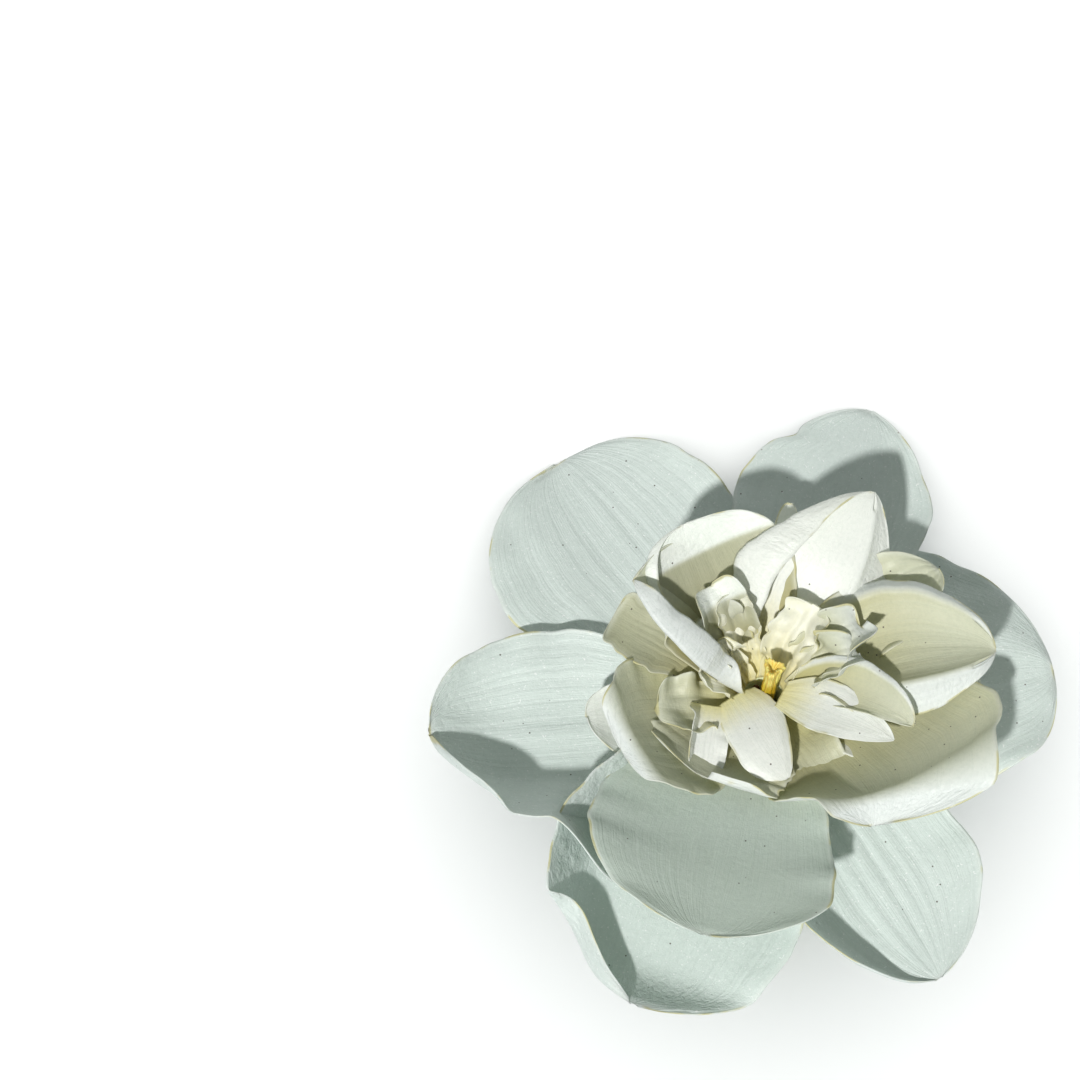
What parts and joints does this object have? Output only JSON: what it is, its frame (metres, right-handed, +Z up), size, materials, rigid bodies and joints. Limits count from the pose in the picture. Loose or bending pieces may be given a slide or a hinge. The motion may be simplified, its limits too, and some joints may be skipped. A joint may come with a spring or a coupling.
{
  "type": "double daffodil cut flower",
  "caption": "Open white double daffodil with broad back petals, a crowded cupped heart, a yellow style and a short bent stem, laid face up on a table.",
  "frame": {"origin": "on the table, under the middle of the flower's outline", "axes": "+Z up off the table, -Y along the cut stem away from the bloom, +X to the right when the cut stem points to the viewer"},
  "size_m": [0.1054, 0.1066, 0.0543],
  "materials": {
    "back_petal": "cool white petal, satin, finely ribbed",
    "middle_petal": "white petal, satin, cream towards its foot",
    "crown_petal": "cream petal, satin, pale yellow in the folds",
    "tube": "pale yellow-green, satin",
    "style": "fluted yellow-orange, satin, bright yellow stigma",
    "stamen": "dry brown",
    "stem": "waxy green, satin, fine ribs",
    "spathe": "dry brown paper"
  },
  "bodies": {
    "root": {"outer_tepal_upper_left": "back_petal", "outer_tepal_right": "back_petal", "outer_tepal_lower_left": "back_petal", "inner_tepal_left": "back_petal", "inner_tepal_top": "back_petal", "inner_tepal_lower_right": "back_petal", "lower_centre_petal": "middle_petal", "left_cup_petal": "middle_petal", "lower_left_cup_petal": "middle_petal", "lower_cup_petal": "middle_petal", "right_cup_petal": "middle_petal", "right_boat_petal": "middle_petal", "ruffled_right_petal": "middle_petal", "tall_hooded_petal": "middle_petal", "upper_cup_petal": "middle_petal", "upper_left_cup_petal": "middle_petal", "torn_left_petal": "middle_petal", "small_curled_petal": "middle_petal", "left_outer_strip": "middle_petal", "curled_strip": "middle_petal", "front_lit_petal": "middle_petal", "right_leaf_petal": "middle_petal", "right_rolled_petal": "middle_petal", "folded_left_petal": "middle_petal", "left_frill": "crown_petal", "small_crown_lobe": "crown_petal", "bowl_lobe_back": "crown_petal", "bowl_lobe_left": "crown_petal", "crown_frill": "crown_petal", "crown_frill_inner": "crown_petal", "inner_lit_petal": "crown_petal", "right_frill_upper": "crown_petal", "right_frill_lower": "crown_petal", "lower_frill": "crown_petal", "perianth_tube": "tube", "style_and_stigma": "style", "stamen_1": "stamen", "stamen_2": "stamen", "stamen_3": "stamen", "ovary_and_stem": "stem", "spathe": "spathe"}
  },
  "joints": []
}
